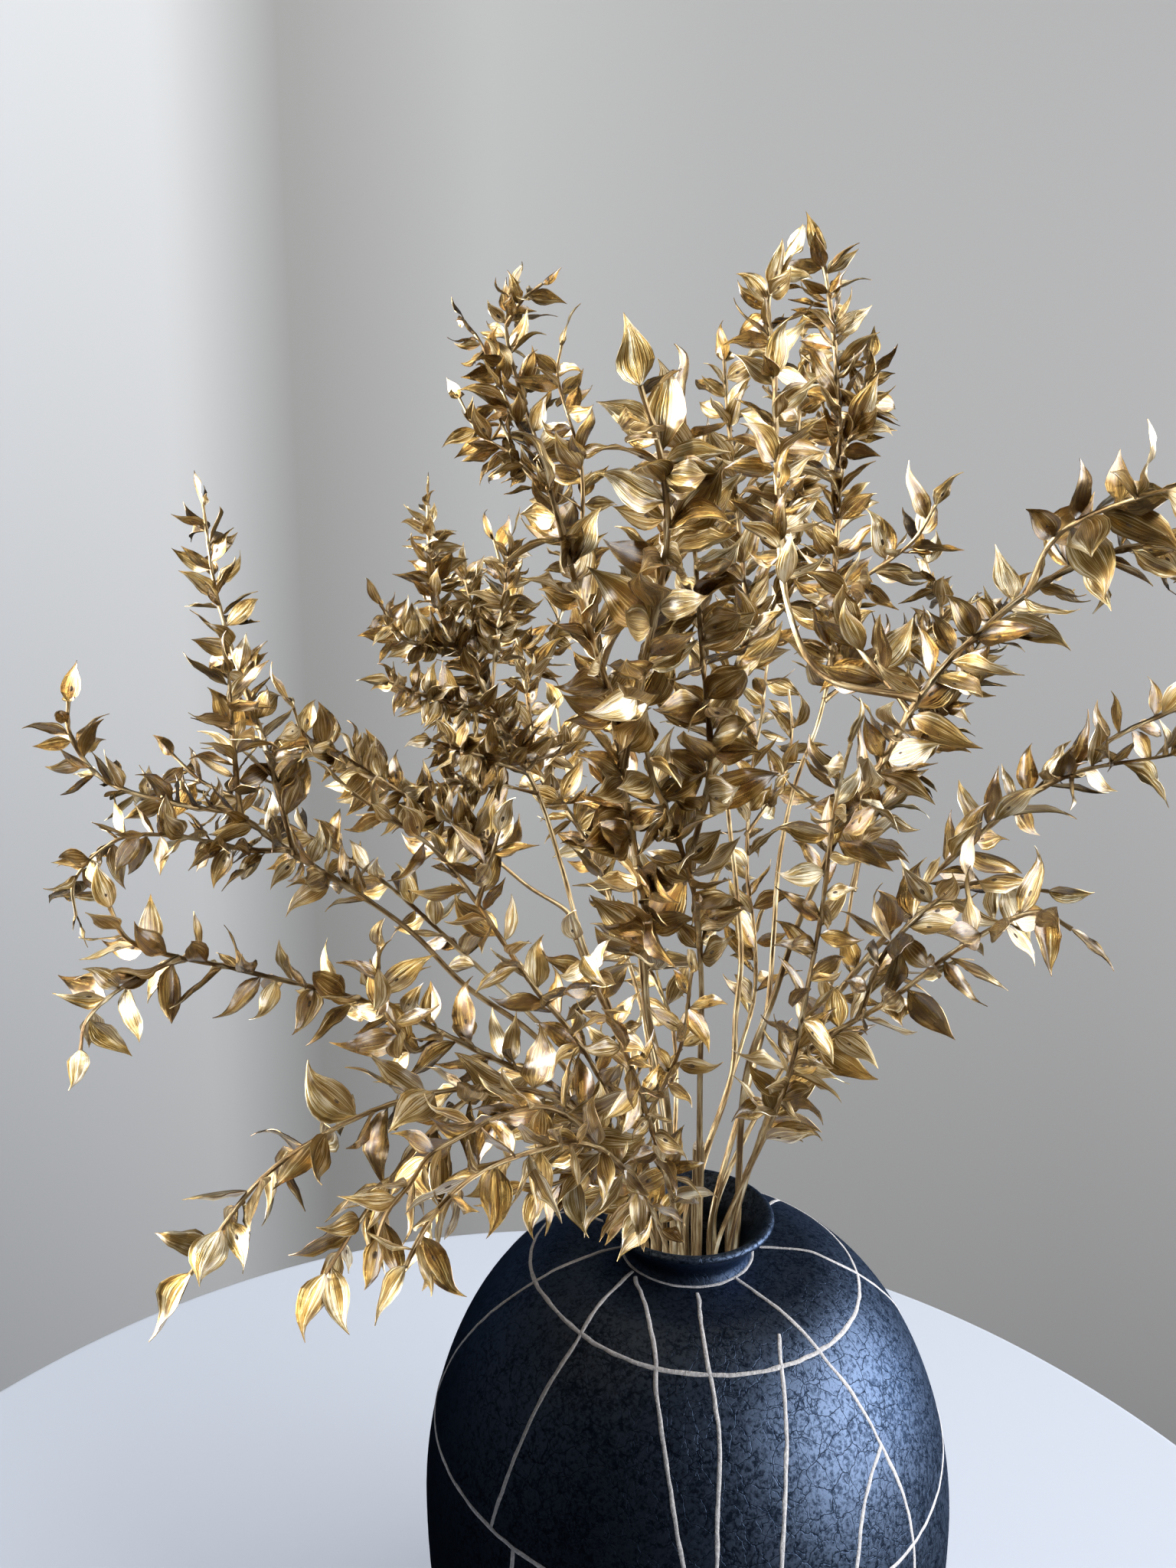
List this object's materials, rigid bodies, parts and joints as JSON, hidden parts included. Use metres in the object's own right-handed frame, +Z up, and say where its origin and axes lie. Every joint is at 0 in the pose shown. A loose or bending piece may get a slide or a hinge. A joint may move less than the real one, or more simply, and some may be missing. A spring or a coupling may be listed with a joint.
{
  "type": "dried ruscus stems in a vase",
  "caption": "Spreading bunch of gold-painted dried ruscus stems with pointed leaves, standing loose in a round, short-necked, dark glazed stoneware vase with thin pale lines.",
  "frame": {"origin": "centre of the vase's foot, on the vase's axis, at the level it stands on", "axes": "+Z up along the vase's axis; -Y is the front, the side seen in the picture; +X is the right of that view"},
  "size_m": [0.5813, 0.3845, 0.7046],
  "materials": {
    "gilded_stem": "gold metallic paint over dried leaf and stem, satin",
    "glazed_stoneware": "dark blue mottled crackle glaze, satin, with thin pale lines"
  },
  "bodies": {
    "root": {"stem_back_left": "gilded_stem", "stem_back_right": "gilded_stem", "stem_big_leaf_left": "gilded_stem", "stem_centre": "gilded_stem", "stem_centre_back": "gilded_stem", "stem_cut_short": "gilded_stem", "stem_left_cross": "gilded_stem", "stem_left_long": "gilded_stem", "stem_left_low_far": "gilded_stem", "stem_left_upper": "gilded_stem", "stem_low_centre": "gilded_stem", "stem_low_drooping": "gilded_stem", "stem_low_left": "gilded_stem", "stem_low_left_front": "gilded_stem", "stem_mid_back": "gilded_stem", "stem_mid_left": "gilded_stem", "stem_right_arch": "gilded_stem", "stem_right_cut": "gilded_stem", "stem_right_inner": "gilded_stem", "stem_right_low": "gilded_stem", "stem_right_mid": "gilded_stem", "stem_top_left": "gilded_stem", "stem_top_right": "gilded_stem", "vase": "glazed_stoneware"}
  },
  "joints": []
}
